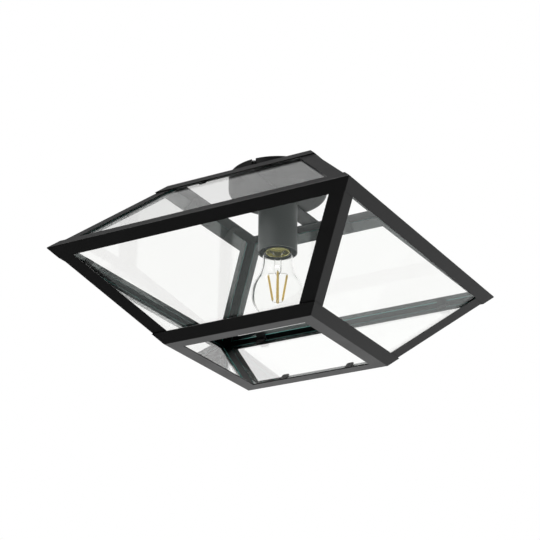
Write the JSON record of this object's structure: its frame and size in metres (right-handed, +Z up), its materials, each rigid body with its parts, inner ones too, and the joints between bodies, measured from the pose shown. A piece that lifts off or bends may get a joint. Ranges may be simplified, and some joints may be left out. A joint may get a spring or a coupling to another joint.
{
  "type": "porch ceiling lantern",
  "caption": "Square black steel ceiling lantern with sloping clear panes, open below, a round canopy and a tube lampholder with a filament lamp.",
  "frame": {"origin": "centre of the ceiling bracket's upper face, where the lantern's axis meets the ceiling", "axes": "+Z up into the ceiling, +Y along the crossbar, the bracket and its slots, +X across them"},
  "size_m": [0.3592, 0.3592, 0.2115],
  "materials": {
    "black_steel": "satin black powder coat",
    "pane_glass": "clear, polished",
    "zinc_steel": "bright zinc plate",
    "brass": "bright",
    "plated_steel": "nickel plate",
    "holder_plastic": "matt black",
    "porcelain": "glazed off-white",
    "screw_shell_brass": "dull",
    "block_plastic": "natural, slightly translucent",
    "brown_lead": "satin brown",
    "blue_lead": "satin blue",
    "green_lead": "satin green with a yellow stripe",
    "lamp_glass": "clear, thin",
    "lamp_cap_brass": "bright rolled sheet",
    "black_insulator": "black glass",
    "filament": "matt phosphor coat"
  },
  "bodies": {
    "lantern": {"top_ring_front": "black_steel", "top_ring_right": "black_steel", "top_ring_back": "black_steel", "top_ring_left": "black_steel", "middle_ring_front": "black_steel", "middle_ring_right": "black_steel", "middle_ring_back": "black_steel", "middle_ring_left": "black_steel", "bottom_ring_front": "black_steel", "bottom_ring_right": "black_steel", "bottom_ring_back": "black_steel", "bottom_ring_left": "black_steel", "upper_post_front_right": "black_steel", "upper_post_back_right": "black_steel", "upper_post_back_left": "black_steel", "upper_post_front_left": "black_steel", "upper_pane_front": "pane_glass", "upper_pane_right": "pane_glass", "upper_pane_back": "pane_glass", "upper_pane_left": "pane_glass", "lower_post_front_right": "black_steel", "lower_post_back_right": "black_steel", "lower_post_back_left": "black_steel", "lower_post_front_left": "black_steel", "lower_pane_front": "pane_glass", "lower_pane_right": "pane_glass", "lower_pane_back": "pane_glass", "lower_pane_left": "pane_glass", "top_glass_clips": "black_steel", "middle_glass_clips": "black_steel", "bottom_glass_clips": "black_steel", "crossbar": "black_steel", "canopy": "black_steel", "canopy_side_screws": "black_steel", "lampholder_cover": "black_steel", "ceiling_bracket": "zinc_steel", "nipple_nut": "zinc_steel", "threaded_nipple": "zinc_steel", "bracket_screws": "zinc_steel", "earth_tag": "brass", "lampholder_terminals": "brass", "lampholder_terminal_screws": "plated_steel", "terminal_block_screws": "plated_steel", "contact_spring": "plated_steel", "lampholder_cap": "holder_plastic", "lampholder_skirt": "holder_plastic", "lampholder_core": "porcelain", "screw_shell": "screw_shell_brass", "terminal_block": "block_plastic", "lead_live": "brown_lead", "lead_neutral": "blue_lead", "lead_earth": "green_lead"},
    "contact": {"centre_contact": "brass"},
    "bulb_tip": {"bulb_tip_contact": "plated_steel"},
    "bulb": {"bulb_glass": "lamp_glass", "bulb_cap_shell": "lamp_cap_brass", "bulb_cap_insulator": "black_insulator", "bulb_stem": "lamp_glass", "bulb_filaments": "filament", "bulb_support_wires": "plated_steel"}
  },
  "joints": [
    {"name": "contact_spring_travel", "type": "slide", "parent": "lantern", "child": "contact", "axis": [0, 0, 1], "range_m": [0, 0.0012], "stiffness_N_per_m": 600, "springref_m": -0.002, "deforming": ["contact_spring"]},
    {"name": "bulb_drop", "type": "slide", "parent": "lantern", "child": "bulb_tip", "axis": [0, 0, -1], "range_m": [0, 0.02541]},
    {"name": "bulb_turn", "type": "hinge", "parent": "bulb_tip", "child": "bulb", "pos_m": [0, 0, -0.08], "axis": [0, 0, -1], "range_deg": [0, 2520]}
  ],
  "couplings": [
    {"joint": "bulb_drop", "follows": "bulb_turn", "m_per_rad": 0.00057757}
  ]
}
